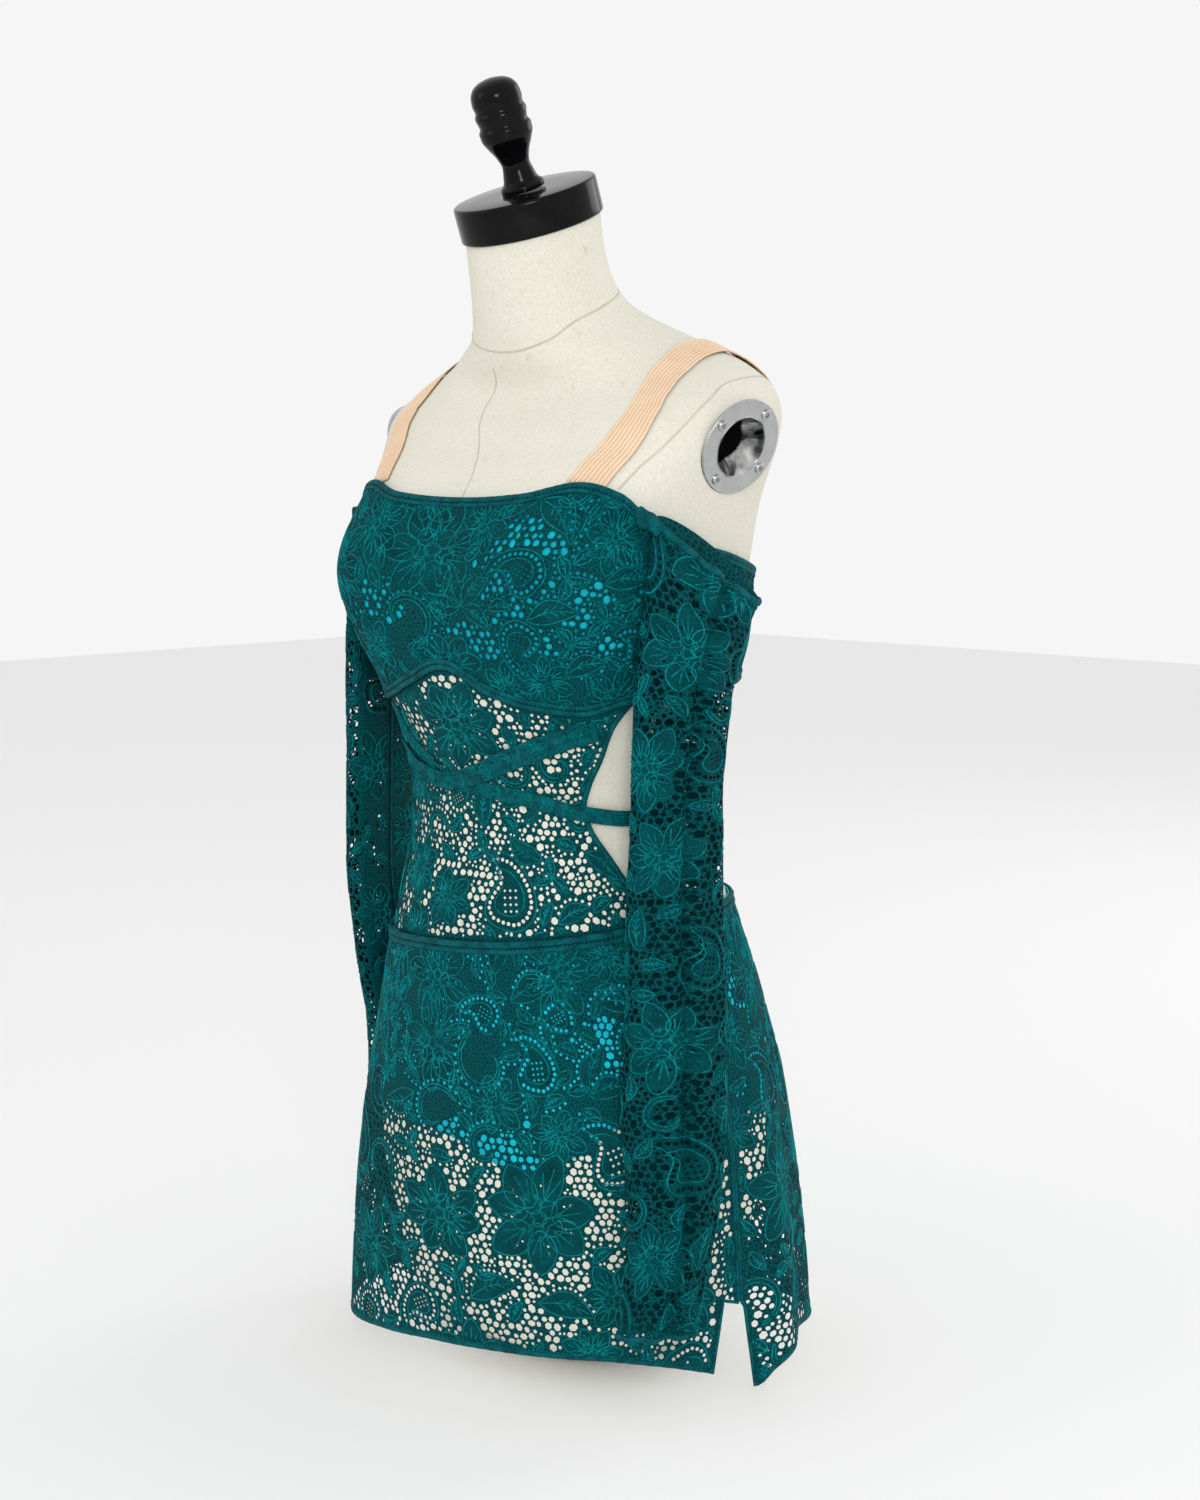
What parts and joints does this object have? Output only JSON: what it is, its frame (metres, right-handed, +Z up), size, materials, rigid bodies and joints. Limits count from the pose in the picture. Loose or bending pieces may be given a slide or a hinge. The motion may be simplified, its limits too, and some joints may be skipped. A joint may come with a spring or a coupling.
{
  "type": "lyrical dance costume on a dress form",
  "caption": "Teal lace dance costume with lined bandeau, open sides, crossed waist bands, short skirt and limp off-shoulder sleeves, worn by a limbless dress form.",
  "frame": {"origin": "on the surface that the form stands on, below the middle of the whole", "axes": "+Z up; the costume's front faces -Y and its left side is +X"},
  "size_m": [0.4231, 0.3285, 1.0094],
  "materials": {
    "lace": "matte stretch lace, teal",
    "lining": "satin stretch knit, turquoise",
    "elastic": "ribbed elastic, beige",
    "form_cover": "smooth ivory linen",
    "lacquer": "gloss black",
    "plate_metal": "satin"
  },
  "bodies": {
    "root": {"bodice_lace_front": "lace", "bodice_lace_back": "lace", "midriff_panel": "lace", "skirt_front": "lace", "skirt_back": "lace", "wrap_band_under": "lace", "wrap_band_over": "lace", "sleeve_left_outer": "lace", "sleeve_left_inner": "lace", "sleeve_right_outer": "lace", "sleeve_right_inner": "lace", "sleeve_left_knot": "lace", "sleeve_right_knot": "lace", "bodice_lining_front": "lining", "bodice_lining_back": "lining", "brief_front": "lining", "brief_back": "lining", "shoulder_strap_right": "elastic", "shoulder_strap_left": "elastic", "form_body": "form_cover", "form_neck_cap": "lacquer", "form_finial": "lacquer", "form_arm_plate_right": "plate_metal", "form_arm_plate_left": "plate_metal"}
  },
  "joints": []
}
